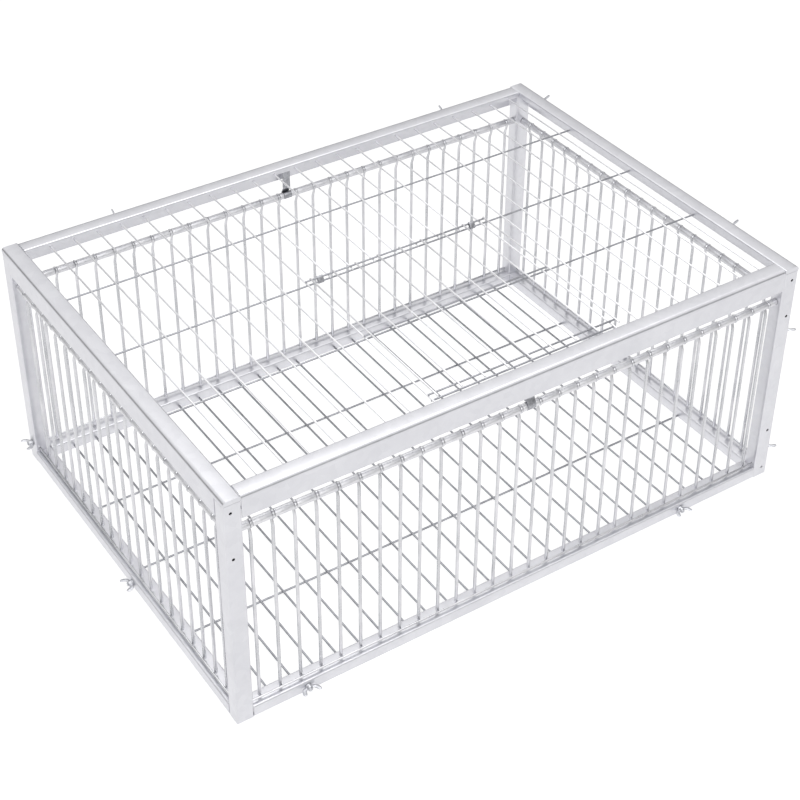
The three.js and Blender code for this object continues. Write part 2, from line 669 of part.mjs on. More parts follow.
trap.add(
  cornerPost("front_left_post", -1, -1, [], leftPins),
  cornerPost("front_right_post", 1, -1, [POST_BOLT_LOW, POST_BOLT_HIGH], rightPins),
  cornerPost("back_left_post", -1, 1, [POST_BOLT_FOOT], []),
  cornerPost("back_right_post", 1, 1, [], []),
  lidMesh(),
  floorMesh(),
  topDoor(),
  hingeClip("hinge_clip_left", HOLE_LEFT_WIRE_COUNT),
  hingeClip("hinge_clip_right", HOLE_RIGHT_WIRE_COUNT - 1),
);

export default trap;
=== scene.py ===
import math

import bpy
import numpy as np
from mathutils import Matrix, Vector


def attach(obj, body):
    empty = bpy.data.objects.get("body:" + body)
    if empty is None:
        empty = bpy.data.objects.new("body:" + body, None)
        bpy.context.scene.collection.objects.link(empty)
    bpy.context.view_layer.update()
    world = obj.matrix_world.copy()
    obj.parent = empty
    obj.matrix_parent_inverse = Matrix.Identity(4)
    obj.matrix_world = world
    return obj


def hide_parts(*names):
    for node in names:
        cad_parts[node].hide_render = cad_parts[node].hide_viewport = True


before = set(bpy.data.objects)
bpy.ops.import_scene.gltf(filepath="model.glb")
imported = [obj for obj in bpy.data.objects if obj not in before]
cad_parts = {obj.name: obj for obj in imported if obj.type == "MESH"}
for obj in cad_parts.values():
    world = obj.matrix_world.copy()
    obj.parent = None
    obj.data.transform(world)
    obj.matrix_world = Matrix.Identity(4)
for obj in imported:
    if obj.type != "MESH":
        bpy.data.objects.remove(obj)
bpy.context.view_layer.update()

# Corner posts
# Four box tubes folded from 1.2 mm galvanised sheet with rounded edges. They are drilled for
# the pivot rods and the stop wires, and the front ones have small holes in their outer face.

LENGTH, DEPTH, HEIGHT = 850.0, 600.0, 350.0
SHEET = 1.2
SEAM = 0.3
FRAME_WIDTH = 23.0
POST_DEPTH = 20.0
POST_BEND = 2.0
LID_OVER_POST = 6.7
POST_TOP = HEIGHT - LID_OVER_POST
ROD_D, ROD_DROP, ROD_INSET = 4.0, 54.0, 10.5
ROD_Z = HEIGHT - ROD_DROP
STOP_D, STOP_Z, STOP_INSET = 3.0, 21.5, 6.45
HOLE_CLEAR = 0.6
PIN_HOLE_D = 4.0
DRILL_LENGTH = 5.0
PIN_PLACES = {
    "front_left": [(-2.3, 263.3), (-2.3, 331.3)],
    "front_right": [(2.3, 14.0), (2.3, 80.0), (2.3, 273.3), (2.3, 330.3)],
    "back_left": [],
    "back_right": [],
}


def linear(colour):
    """A written sRGB colour as linear light: a channel c above 0.04045 becomes
    ((c + 0.055) / 1.055) to the power 2.4, and a darker one c / 12.92."""
    channels = [int(colour[i : i + 2], 16) / 255 for i in (1, 3, 5)]
    light = [c / 12.92 if c <= 0.04045 else ((c + 0.055) / 1.055) ** 2.4 for c in channels]
    return (*light, 1.0)


def add(material, kind, settings=None, sockets=None):
    """Adds one node, sets its properties, and fills its sockets with values or links."""
    tree = material.node_tree
    made = tree.nodes.new(kind)
    for key, value in (settings or {}).items():
        setattr(made, key, value)
    for key, value in (sockets or {}).items():
        if isinstance(value, bpy.types.NodeSocket):
            tree.links.new(value, made.inputs[key])
        else:
            made.inputs[key].default_value = value
    return made


def new_material(name):
    """An empty node material, and its output node."""
    material = bpy.data.materials.new(name)
    material.use_nodes = True
    material.node_tree.nodes.clear()
    return material, add(material, "ShaderNodeOutputMaterial")


def zinc_coated_sheet():
    """Hot dipped zinc on rolled steel sheet: pale and satin, with flat crystals about 9 mm
    across that differ a little in brightness, cloudy patches, and a fine grain."""
    material, output = new_material("hot_dip_galvanised_sheet")
    place = add(material, "ShaderNodeTexCoord").outputs["Object"]
    crystal_mm, cloud_mm, grain_mm = 9.0, 70.0, 1.2
    crystal_share, cloud_share, base_tone = 0.16, 0.65, 0.1
    crystals = add(
        material,
        "ShaderNodeTexVoronoi",
        {"feature": "F1"},
        {"Vector": place, "Scale": 1000 / crystal_mm, "Randomness": 1.0},
    )
    grey = add(material, "ShaderNodeSeparateColor", None, {"Color": crystals.outputs["Color"]})
    clouds = add(
        material,
        "ShaderNodeTexNoise",
        None,
        {"Vector": place, "Scale": 1000 / cloud_mm, "Detail": 4.0, "Roughness": 0.6},
    )
    grain = add(
        material,
        "ShaderNodeTexNoise",
        None,
        {"Vector": place, "Scale": 1000 / grain_mm, "Detail": 2.0, "Roughness": 0.5},
    )
    tone = add(
        material,
        "ShaderNodeMath",
        {"operation": "MULTIPLY_ADD"},
        {0: grey.outputs["Red"], 1: crystal_share, 2: base_tone},
    )
    mixed = add(
        material,
        "ShaderNodeMath",
        {"operation": "MULTIPLY_ADD"},
        {0: clouds.outputs["Fac"], 1: cloud_share, 2: tone.outputs[0]},
    )
    colour = add(material, "ShaderNodeValToRGB", None, {"Fac": mixed.outputs[0]})
    colour.color_ramp.elements[0].position = 0.25
    colour.color_ramp.elements[0].color = linear("#DBDBE0")
    colour.color_ramp.elements[1].position = 0.8
    colour.color_ramp.elements[1].color = linear("#EBEBEF")
    rough = add(
        material,
        "ShaderNodeMapRange",
        None,
        {"Value": mixed.outputs[0], "To Min": 0.26, "To Max": 0.36},
    )
    bump = add(
        material,
        "ShaderNodeBump",
        None,
        {"Height": grain.outputs["Fac"], "Strength": 0.12, "Distance": 0.0002},
    )
    shader = add(
        material,
        "ShaderNodeBsdfPrincipled",
        None,
        {
            "Base Color": colour.outputs["Color"],
            "Metallic": 0.9,
            "Roughness": rough.outputs["Result"],
            "Normal": bump.outputs["Normal"],
        },
    )
    material.node_tree.links.new(shader.outputs["BSDF"], output.inputs["Surface"])
    return material


ZINC_SHEET = zinc_coated_sheet()


def skin(rings, closed=False):
    """Faces over rings of points, given as rings by points by 3. A quad joins each point and
    its next neighbour with the same two points of the next ring, and one face closes each
    end, or the last ring meets the first."""
    count, sides = rings.shape[:2]
    ring, point = np.meshgrid(np.arange(count if closed else count - 1), np.arange(sides), indexing="ij")
    after, above = (point + 1) % sides, (ring + 1) % count
    quads = np.stack(
        [ring * sides + point, ring * sides + after, above * sides + after, above * sides + point], -1
    ).reshape(-1, 4)
    faces = [quads]
    if not closed:
        ends = np.arange(sides)
        faces.append(np.stack([ends[::-1], ends + (count - 1) * sides]))
    return rings.reshape(-1, 3), faces


def carried(path, side, section, swell=None, closed=False):
    """A profile carried along a path. A ring is the path's point plus u times side plus v
    times (tangent x side) for the profile's points (u, v), which run anticlockwise. swell
    multiplies u and v at each point of the path."""
    path = np.asarray(path, float)
    side = np.asarray(side, float)
    if closed:
        step = np.roll(path, -1, axis=0) - np.roll(path, 1, axis=0)
    else:
        step = np.gradient(path, axis=0)
    tangent = step / np.linalg.norm(step, axis=1, keepdims=True)
    third = np.cross(tangent, side)
    third /= np.linalg.norm(third, axis=1, keepdims=True)
    swell = np.ones((len(path), 2)) if swell is None else np.asarray(swell, float)
    u = swell[:, None, :1] * section[None, :, :1]
    v = swell[:, None, 1:] * section[None, :, 1:]
    return skin(path[:, None] + u * side + v * third[:, None], closed)


def arc(centre, radius, start, end, steps):
    """Points on a circle: centre plus radius times (cos, sin) of evenly spaced angles."""
    angle = np.radians(np.linspace(start, end, steps + 1))
    return np.asarray(centre) + radius * np.stack([np.cos(angle), np.sin(angle)], -1)


def rounded_box(half_u, half_v, radius, steps=6):
    """An anticlockwise rectangle with a quarter circle at each corner."""
    u, v = half_u - radius, half_v - radius
    corners = [(u, v, 0), (-u, v, 90), (-u, -v, 180), (u, -v, 270)]
    return np.concatenate([arc((x, y), radius, turn, turn + 90, steps) for x, y, turn in corners])


def raised(outline, height):
    """A flat outline as points in space at one height."""
    return np.column_stack([outline, np.full(len(outline), height)])


def moved(shell, offset):
    """A shell shifted by an offset."""
    points, faces = shell
    return points + np.asarray(offset, float), faces


def to_mesh(name, shells):
    """One mesh in metres from shells in millimetres."""
    counts = np.cumsum([0] + [len(points) for points, _ in shells])
    points = np.concatenate([points for points, _ in shells]) / 1000
    faces = [
        face
        for (_, parts), first in zip(shells, counts)
        for part in parts
        for face in (part + first).tolist()
    ]
    mesh = bpy.data.meshes.new(name)
    mesh.from_pydata(points.tolist(), [], faces)
    mesh.validate()
    return mesh


def piece(name, shells, material, body, slot, *nodes, crease=32, others=(), other=None):
    """An object that stands for CAD nodes and moves with their body. Faces that meet at less
    than the crease angle shade as one smooth surface. The shells in others come last and have
    a material of their own."""
    mesh = to_mesh(name, [*shells, *others])
    mesh.materials.append(material)
    if others:
        mesh.materials.append(other)
        count = sum(len(part) for _, parts in shells for part in parts)
        rank = np.arange(len(mesh.polygons)) >= count
        mesh.polygons.foreach_set("material_index", rank.astype(np.int32))
    mesh.shade_smooth()
    mesh.set_sharp_from_angle(angle=math.radians(crease))
    made = bpy.data.objects.new(name, mesh)
    bpy.context.scene.collection.objects.link(made)
    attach(made, body)
    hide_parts(*nodes)
    return made


def drilled(made, holes):
    """Cuts round holes through one wall, each given by its axis, its middle and its diameter."""
    shells = []
    for axis, middle, diameter in holes:
        ring = rounded_box(diameter / 2, diameter / 2, diameter / 2)
        ends = np.stack([raised(ring, -DRILL_LENGTH / 2), raised(ring, DRILL_LENGTH / 2)])
        order = {"x": [2, 0, 1], "y": [1, 2, 0]}[axis]
        shells.append(moved(skin(ends[..., order]), middle))
    cutter = bpy.data.objects.new(made.name + "_drill", to_mesh("drill", shells))
    bpy.context.scene.collection.objects.link(cutter)
    cut = made.modifiers.new("holes", "BOOLEAN")
    cut.object = cutter
    cut.solver = "EXACT"
    bpy.context.view_layer.update()
    whole = made.evaluated_get(bpy.context.evaluated_depsgraph_get())
    mesh = bpy.data.meshes.new_from_object(whole)
    made.modifiers.clear()
    made.data = mesh
    bpy.data.objects.remove(cutter)


for corner, pins in PIN_PLACES.items():
    y_sign = -1 if corner.startswith("front") else 1
    x_sign = -1 if corner.endswith("left") else 1
    outside = rounded_box(FRAME_WIDTH / 2, POST_DEPTH / 2, POST_BEND)
    bore = rounded_box(FRAME_WIDTH / 2 - SHEET, POST_DEPTH / 2 - SHEET, POST_BEND - SHEET)
    rings = [raised(outside, 0), raised(outside, POST_TOP), raised(bore, POST_TOP), raised(bore, 0)]
    x = x_sign * (LENGTH - FRAME_WIDTH) / 2
    y = y_sign * (DEPTH - POST_DEPTH) / 2
    post = piece(
        corner + "_corner_post",
        [moved(skin(np.stack(rings), closed=True), (x, y, 0))],
        ZINC_SHEET,
        "cage",
        "zinc_sheet",
        corner + "_post",
    )
    inner_x = x - x_sign * FRAME_WIDTH / 2
    inner_y = y - y_sign * POST_DEPTH / 2
    rod_y, rod_x = y_sign * (DEPTH / 2 - ROD_INSET), x_sign * (LENGTH / 2 - ROD_INSET)
    stop_y, stop_x = y_sign * (DEPTH / 2 - STOP_INSET), x_sign * (LENGTH / 2 - STOP_INSET)
    holes = [
        ("x", (inner_x, rod_y, ROD_Z), ROD_D + HOLE_CLEAR),
        ("y", (rod_x, inner_y, ROD_Z), ROD_D + HOLE_CLEAR),
        ("x", (inner_x, stop_y, STOP_Z), STOP_D + HOLE_CLEAR),
        ("y", (stop_x, inner_y, STOP_Z), STOP_D + HOLE_CLEAR),
    ]
    outer_y = y_sign * DEPTH / 2
    holes += [("y", (x + across, outer_y, height), PIN_HOLE_D) for across, height in pins]
    drilled(post, holes)

# Floor rails
# Four channels folded from the same sheet with their open side down and a lip on each edge.
# Each runs between two posts, and the floor mesh lies between their inner webs.

RAIL_HEIGHT = 17.0
RAIL_LIP = 6.0
RAIL_BEND = 2.0
WALLS = {
    "front": (0.0, DEPTH / 2, LENGTH / 2 - FRAME_WIDTH),
    "right": (90.0, LENGTH / 2, DEPTH / 2 - POST_DEPTH),
    "back": (180.0, DEPTH / 2, LENGTH / 2 - FRAME_WIDTH),
    "left": (-90.0, LENGTH / 2, DEPTH / 2 - POST_DEPTH),
}


def on_wall(shell, wall):
    """Turns what was built as the front wall, with +X along it and -Y outwards, about the
    upright axis to its own side of the cage."""
    points, faces = shell
    turn = math.radians(WALLS[wall][0])
    spin = np.array(
        [[math.cos(turn), -math.sin(turn), 0], [math.sin(turn), math.cos(turn), 0], [0, 0, 1]]
    )
    return points @ spin.T, faces


def folded(line, bends, sheet=SHEET, steps=6):
    """The outline of a folded strip of sheet. Its outer side runs along the line with an arc
    at each corner, every fold turns left by a right angle, and the inner side comes back one
    sheet's thickness to the left."""
    line, bends = np.array(line, float), np.array(bends, float)[:, None]
    runs = np.diff(line, axis=0)
    runs /= np.linalg.norm(runs, axis=1, keepdims=True)
    left = np.stack([-runs[:, 1], runs[:, 0]], -1)
    centres = line[1:-1] - runs[:-1] * bends + runs[1:] * bends
    first = np.arctan2(-left[:-1, 1], -left[:-1, 0])[:, None]
    angle = first + np.linspace(0, math.pi / 2, steps + 1)
    ray = np.stack([np.cos(angle), np.sin(angle)], -1)
    outer = (centres[:, None] + bends[..., None] * ray).reshape(-1, 2)
    inner = (centres[:, None] + (bends[..., None] - sheet) * ray).reshape(-1, 2)
    tail, nose = line[-1] + left[-1] * sheet, line[0] + left[0] * sheet
    return np.vstack([line[:1], outer, line[-1:], tail, inner[::-1], nose])


def along_wall(section, wall, start, end, height=0.0):
    """A section of (distance inwards, height) carried along a wall from start to end."""
    half = WALLS[wall][1]
    path = [(start, -half, height), ((start + end) / 2, -half, height), (end, -half, height)]
    return on_wall(carried(path, (0, 1, 0), section), wall)


RAIL_LINE = [
    (FRAME_WIDTH - RAIL_LIP, 0),
    (FRAME_WIDTH, 0),
    (FRAME_WIDTH, RAIL_HEIGHT),
    (0, RAIL_HEIGHT),
    (0, 0),
    (RAIL_LIP, 0),
]
for wall, (_, _, clear) in WALLS.items():
    rail = along_wall(folded(RAIL_LINE, [RAIL_BEND] * 4), wall, SEAM - clear, clear - SEAM)
    piece(wall + "_rail_channel", [rail], ZINC_SHEET, "cage", "zinc_sheet", wall + "_floor_rail")

# Floor mesh
# Welded mesh of 3 mm galvanised wire: cross wires lie on three long ones and are sunk a
# little into them by the spot welds. It lies just above the ground inside the rails.

FLOOR_WIRE_D = 3.0
FLOOR_GROUND_GAP = 1.7
FLOOR_LONG_Z = FLOOR_GROUND_GAP + FLOOR_WIRE_D / 2
WELD_SINK = 0.6
FLOOR_FIELDS = 24
FLOOR_LONG_SHARES = np.array([-0.5, 0.0, 0.5])


def mesh_wire(name, dark, pale):
    """Zinc coated mesh wire, dull from its welding and dipping: blotches about 14 mm long
    of rougher, paler zinc between darker, smoother runs."""
    material, output = new_material(name)
    place = add(material, "ShaderNodeTexCoord").outputs["Object"]
    blotch_mm, pit_mm = 14.0, 1.0
    blotches = add(
        material,
        "ShaderNodeTexNoise",
        None,
        {"Vector": place, "Scale": 1000 / blotch_mm, "Detail": 5.0, "Roughness": 0.65},
    )
    pits = add(
        material, "ShaderNodeTexNoise", None, {"Vector": place, "Scale": 1000 / pit_mm, "Detail": 2.0}
    )
    colour = add(material, "ShaderNodeValToRGB", None, {"Fac": blotches.outputs["Fac"]})
    colour.color_ramp.elements[0].position = 0.32
    colour.color_ramp.elements[0].color = linear(dark)
    colour.color_ramp.elements[1].position = 0.68
    colour.color_ramp.elements[1].color = linear(pale)
    rough = add(
        material,
        "ShaderNodeMapRange",
        None,
        {"Value": blotches.outputs["Fac"], "To Min": 0.42, "To Max": 0.6},
    )
    bump = add(
        material,
        "ShaderNodeBump",
        None,
        {"Height": pits.outputs["Fac"], "Strength": 0.25, "Distance": 0.0001},
    )
    shader = add(
        material,
        "ShaderNodeBsdfPrincipled",
        None,
        {
            "Base Color": colour.outputs["Color"],
            "Metallic": 1.0,
            "Roughness": rough.outputs["Result"],
            "Normal": bump.outputs["Normal"],
        },
    )
    material.node_tree.links.new(shader.outputs["BSDF"], output.inputs["Surface"])
    return material


FLOOR_WIRE = mesh_wire("dip_galvanised_mesh_wire", "#9A9BA0", "#BCBDC2")


def round_section(diameter, sides=12):
    """An anticlockwise circle of points."""
    return arc((0, 0), diameter / 2, 0, 360 - 360 / sides, sides - 1)


def cropped_wire(start, end, diameter, sides=12):
    """A straight round wire whose cropped ends narrow over the last third of its radius."""
    start, end = np.asarray(start, float), np.asarray(end, float)
    length = np.linalg.norm(end - start)
    edge = diameter / 6
    share = np.array([0, edge / 2, edge, length / 2, length - edge, length - edge / 2, length]) / length
    width = np.array([0.7, 0.92, 1, 1, 1, 0.92, 0.7])
    path = start + share[:, None] * (end - start)
    side = (0, 0, 1) if abs(end - start)[2] < length / 2 else (0, 1, 0)
    return carried(path, side, round_section(diameter, sides), np.stack([width, width], -1))


mesh_reach_x = LENGTH / 2 - FRAME_WIDTH - SEAM
mesh_reach_y = DEPTH / 2 - FRAME_WIDTH - SEAM
floor_short_z = FLOOR_LONG_Z + FLOOR_WIRE_D - WELD_SINK
floor_places = np.linspace(-1, 1, FLOOR_FIELDS + 1)[1:-1] * (LENGTH / 2 - FRAME_WIDTH)
floor_wires = [
    cropped_wire((x, -mesh_reach_y, floor_short_z), (x, mesh_reach_y, floor_short_z), FLOOR_WIRE_D)
    for x in floor_places
]
floor_wires += [
    cropped_wire((-mesh_reach_x, y, FLOOR_LONG_Z), (mesh_reach_x, y, FLOOR_LONG_Z), FLOOR_WIRE_D)
    for y in FLOOR_LONG_SHARES * (DEPTH / 2 - FRAME_WIDTH)
]
piece("floor_wire_grid", floor_wires, FLOOR_WIRE, "cage", "mesh_wire", "floor_mesh")

# Stop wires
# A 3 mm drawn wire along each wall, just above its rail and just outside the bars' tips. It
# sits in holes in the posts and keeps the bars from swinging outwards.

ROD_SEAT = 5.0


def drawn_wire():
    """Bright drawn and zinc plated wire: smooth and light, with faint marks about 2 mm long
    from the die and a slight change of tone every few centimetres."""
    material, output = new_material("bright_drawn_wire")
    place = add(material, "ShaderNodeTexCoord").outputs["Object"]
    mark_mm, tone_mm = 2.0, 45.0
    mark_share = 0.4
    tone = add(
        material, "ShaderNodeTexNoise", None, {"Vector": place, "Scale": 1000 / tone_mm, "Detail": 3.0}
    )
    marks = add(
        material,
        "ShaderNodeTexNoise",
        None,
        {"Vector": place, "Scale": 1000 / mark_mm, "Detail": 3.0, "Roughness": 0.6},
    )
    mixed = add(
        material,
        "ShaderNodeMath",
        {"operation": "MULTIPLY_ADD"},
        {0: marks.outputs["Fac"], 1: mark_share, 2: tone.outputs["Fac"]},
    )
    colour = add(material, "ShaderNodeValToRGB", None, {"Fac": mixed.outputs[0]})
    colour.color_ramp.elements[0].position = 0.5
    colour.color_ramp.elements[0].color = linear("#CACBCE")
    colour.color_ramp.elements[1].position = 0.9
    colour.color_ramp.elements[1].color = linear("#E6E6E9")
    rough = add(
        material,
        "ShaderNodeMapRange",
        None,
        {"Value": mixed.outputs[0], "To Min": 0.2, "To Max": 0.32},
    )
    bump = add(
        material,
        "ShaderNodeBump",
        None,
        {"Height": marks.outputs["Fac"], "Strength": 0.1, "Distance": 0.0001},
    )
    shader = add(
        material,
        "ShaderNodeBsdfPrincipled",
        None,
        {
            "Base Color": colour.outputs["Color"],
            "Metallic": 1.0,
            "Roughness": rough.outputs["Result"],
            "Normal": bump.outputs["Normal"],
        },
    )
    material.node_tree.links.new(shader.outputs["BSDF"], output.inputs["Surface"])
    return material


BRIGHT_WIRE = drawn_wire()


def wall_wire(wall, diameter, inset, height):
    """A straight wire along a wall whose ends sit in the posts."""
    _, half, clear = WALLS[wall]
    reach, y = clear + ROD_SEAT, inset - half
    return on_wall(cropped_wire((-reach, y, height), (reach, y, height), diameter, 16), wall)


for wall in WALLS:
    stop = wall_wire(wall, STOP_D, STOP_INSET, STOP_Z)
    piece(wall + "_bar_stop", [stop], BRIGHT_WIRE, "cage", "bright_wire", wall + "_stop_wire")

# Pivot rods and their straps
# A 4 mm rod under the lid's edge on each wall carries the bars. On the two long walls a strip
# of plated steel, bent round a bush on the rod and under the lid's flange, holds its middle.

STRAP_WIDTH = 12.0
STRAP_SHEET = 1.5
STRAP_LOOP = 4.65
STRAP_BEND = 2.2
STRAP_REACH = 8.6
STRAP_NECK_LOW, STRAP_NECK_HIGH = 2.0, 13.0
BUSH_D, BUSH_BORE = 7.6, ROD_D + 0.5


def plated_steel(name, dark, pale):
    """Zinc plated pressed steel of small fittings: a little bluish and darker than sheet,
    smooth, with worn brighter spots."""
    material, output = new_material(name)
    place = add(material, "ShaderNodeTexCoord").outputs["Object"]
    wear_mm, grain_mm = 3.0, 0.6
    wear = add(
        material, "ShaderNodeTexNoise", None, {"Vector": place, "Scale": 1000 / wear_mm, "Detail": 4.0}
    )
    grain = add(
        material, "ShaderNodeTexNoise", None, {"Vector": place, "Scale": 1000 / grain_mm, "Detail": 2.0}
    )
    colour = add(material, "ShaderNodeValToRGB", None, {"Fac": wear.outputs["Fac"]})
    colour.color_ramp.elements[0].position = 0.35
    colour.color_ramp.elements[0].color = linear(dark)
    colour.color_ramp.elements[1].position = 0.7
    colour.color_ramp.elements[1].color = linear(pale)
    rough = add(
        material,
        "ShaderNodeMapRange",
        None,
        {"Value": wear.outputs["Fac"], "To Min": 0.3, "To Max": 0.46},
    )
    bump = add(
        material,
        "ShaderNodeBump",
        None,
        {"Height": grain.outputs["Fac"], "Strength": 0.15, "Distance": 0.0001},
    )
    shader = add(
        material,
        "ShaderNodeBsdfPrincipled",
        None,
        {
            "Base Color": colour.outputs["Color"],
            "Metallic": 1.0,
            "Roughness": rough.outputs["Result"],
            "Normal": bump.outputs["Normal"],
        },
    )
    material.node_tree.links.new(shader.outputs["BSDF"], output.inputs["Surface"])
    return material


PLATED_STEEL = plated_steel("zinc_plated_steel_strip", "#A0A1A6", "#C6C7CC")


def in_cross_plane(points):
    """Points of a plane across the wall, (inwards, up), as points in space."""
    points = np.asarray(points, float)
    return np.column_stack([np.zeros(len(points)), points])


def smooth_shift(start, end, low, high, steps=10):
    """A run from height low to high that shifts sideways from start to end along the curve
    3 t squared minus 2 t cubed."""
    t = np.linspace(0, 1, steps + 1)
    return np.column_stack([start + (end - start) * t * t * (3 - 2 * t), low + (high - low) * t])


def turned_profile(profile, middle, along, across, steps=24):
    """A closed profile of (distance along an axis, radius) turned round that axis."""
    along, across = np.asarray(along, float), np.asarray(across, float)
    angle = np.radians(np.arange(steps) * 360 / steps)[None, :, None]
    ray = np.cos(angle) * across + np.sin(angle) * np.cross(along, across)
    distance, radius = np.asarray(profile, float).T
    rings = np.asarray(middle) + distance[:, None, None] * along + radius[:, None, None] * ray
    return skin(rings, closed=True)


def short_tube(start, end, outside, inside, middle):
    """A short tube along a wall with its outer edges rounded off."""
    edge = 0.5
    profile = [
        (start, outside / 2 - edge),
        (start + edge / 4, outside / 2 - edge / 3),
        (start + edge, outside / 2),
        (end - edge, outside / 2),
        (end - edge / 4, outside / 2 - edge / 3),
        (end, outside / 2 - edge),
        (end, inside / 2),
        (start, inside / 2),
    ]
    return turned_profile(profile, middle, (1, 0, 0), (0, 1, 0))


for wall in WALLS:
    rod = wall_wire(wall, ROD_D, ROD_INSET, ROD_Z)
    piece(wall + "_bar_rod", [rod], BRIGHT_WIRE, "cage", "bright_wire", wall + "_pivot_rod")

strap_top = HEIGHT - SHEET - SEAM - STRAP_SHEET / 2 - ROD_Z
strap_line = np.vstack(
    [
        [(STRAP_REACH, strap_top), (5.0, strap_top)],
        arc((STRAP_BEND, strap_top - STRAP_BEND), STRAP_BEND, 90, 180, 6),
        [(0, strap_top - 8), (0, 22)],
        smooth_shift(0, -STRAP_LOOP, STRAP_NECK_HIGH, STRAP_NECK_LOW),
        arc((0, 0), STRAP_LOOP, 184, 430, 26),
    ]
)
strip = rounded_box(STRAP_WIDTH / 2, STRAP_SHEET / 2, 0.3, 2)
for wall in ("front", "back"):
    middle = (0, ROD_INSET - DEPTH / 2, ROD_Z)
    strap = moved(carried(in_cross_plane(strap_line), (1, 0, 0), strip), middle)
    bush = short_tube(-STRAP_WIDTH / 2, STRAP_WIDTH / 2, BUSH_D, BUSH_BORE, middle)
    shells = [on_wall(strap, wall), on_wall(bush, wall)]
    piece(wall + "_rod_hanger", shells, PLATED_STEEL, "cage", "steel_fittings", wall + "_rod_strap")

# Bob bars
# 4.5 mm wires, each with an eye bent round the pivot rod and short tubes on the rod between
# the eyes. They hang by their own weight and swing inwards; four or five make one gang.

BAR_D = 4.5
BAR_TIP_HEIGHT = 19.5
BAR_TIP = BAR_TIP_HEIGHT - ROD_Z
NECK_LOW, NECK_HIGH = -18.0, -2.0
GANGS = {"long": [5, 4, 5, 5, 4, 5], "short": [5, 5, 4, 5]}
SHORT_ROW_SHARE = 0.9742
EYE_RADIUS = 4.1
EYE_WIDTH = 0.8
EYE_GAP, POST_GAP = 0.25, 0.4
SPACER_D, SPACER_BORE = 10.0, ROD_D + 0.7
STRAP_CLEAR = STRAP_WIDTH / 2 + 0.3
SPACER_TUBE = mesh_wire("galvanised_spacer_tube", "#E2E2E6", "#F3F3F5")


def bob_bar(place):
    """A bar's centre line in the plane across the wall: straight up from its tip, a smooth
    shift to one side, and most of a circle about the rod, where the wire is flattened."""
    tip = [(0, BAR_TIP), (0, BAR_TIP + 0.6), (0, BAR_TIP + 1.6), (0, BAR_TIP / 2)]
    shift = smooth_shift(0, EYE_RADIUS, NECK_LOW, NECK_HIGH, 8)
    circle = arc((0, 0), EYE_RADIUS, -10, 250, 24)[1:]
    line = in_cross_plane(np.vstack([tip, shift, circle]))
    width = np.concatenate(
        [[0.45, 0.8, 1, 1], np.linspace(1, EYE_WIDTH, len(shift)), np.full(len(circle), EYE_WIDTH)]
    )
    shell = carried(line, (1, 0, 0), round_section(BAR_D, 10), np.stack([width, width], -1))
    return moved(shell, (place, 0, 0))


for wall, (_, half, clear) in WALLS.items():
    gangs = GANGS["long" if wall in ("front", "back") else "short"]
    row = clear if wall in ("front", "back") else clear * SHORT_ROW_SHARE
    places = np.linspace(-1, 1, 2 * sum(gangs) + 1)[1::2] * row
    stops = np.concatenate([[-clear], places, [clear]])
    eye_half = BAR_D * EYE_WIDTH / 2 + EYE_GAP
    first = 0
    for number, bars in enumerate(gangs, 1):
        spans = [
            (stops[k] + eye_half, stops[k + 1] - eye_half) for k in range(first + 1, first + bars + 1)
        ]
        if number == 1:
            spans.insert(0, (stops[0] + POST_GAP, stops[1] - eye_half))
        if number == len(gangs):
            spans[-1] = (spans[-1][0], stops[-1] - POST_GAP)
        if wall in ("front", "back") and number == len(gangs) // 2:
            spans[-1] = (spans[-1][0], -STRAP_CLEAR)
        if wall in ("front", "back") and number == len(gangs) // 2 + 1:
            spans.insert(0, (STRAP_CLEAR, stops[first + 1] - eye_half))
        shells = [bob_bar(place) for place in places[first : first + bars]]
        shells += [short_tube(start, end, SPACER_D, SPACER_BORE, (0, 0, 0)) for start, end in spans]
        shells = [on_wall(moved(shell, (0, ROD_INSET - half, ROD_Z)), wall) for shell in shells]
        rods, tubes = shells[:bars], shells[bars:]
        node, name = f"{wall}_bob_gang_{number}", f"{wall}_bob_bars_{number}"
        piece(name, rods, BRIGHT_WIRE, node, "bright_wire", node, others=tubes, other=SPACER_TUBE)
        first += bars

# Lid members
# Four folded channels round the top. The two side ones run over the posts and are closed at
# their ends; the front and back ones fit between them.

LID_WEB = 32.0
LID_LIP = 8.0
LID_BEND, LIP_BEND = 5.0, 2.0

lid_section = folded(
    [(FRAME_WIDTH, -LID_LIP), (FRAME_WIDTH, 0), (0, 0), (0, -LID_WEB)], [LIP_BEND, LID_BEND]
)
low = SEAM - LID_OVER_POST
over_post_section = folded(
    [(FRAME_WIDTH, low), (FRAME_WIDTH, 0), (0, 0), (0, low)], [LIP_BEND, LID_BEND]
)
end_plate = np.vstack(
    [
        [(0, low), (FRAME_WIDTH, low)],
        arc((FRAME_WIDTH - LIP_BEND, -LIP_BEND), LIP_BEND, 0, 90, 6),
        arc((LID_BEND, -LID_BEND), LID_BEND, 90, 180, 6),
    ]
)
for wall in ("front", "back"):
    reach = LENGTH / 2 - FRAME_WIDTH - SEAM
    member = along_wall(lid_section, wall, -reach, reach, HEIGHT)
    piece(f"lid_{wall}_channel", [member], ZINC_SHEET, "cage", "zinc_sheet", f"lid_{wall}_member")
for wall in ("left", "right"):
    inner, reach = DEPTH / 2 - POST_DEPTH - SEAM, DEPTH / 2
    shells = [
        along_wall(lid_section, wall, -inner, inner, HEIGHT),
        along_wall(over_post_section, wall, -reach + SHEET, -inner, HEIGHT),
        along_wall(over_post_section, wall, inner, reach - SHEET, HEIGHT),
        along_wall(end_plate, wall, -reach, -reach + SHEET, HEIGHT),
        along_wall(end_plate, wall, reach - SHEET, reach, HEIGHT),
    ]
    piece(f"lid_{wall}_channel", shells, ZINC_SHEET, "cage", "zinc_sheet", f"lid_{wall}_member")

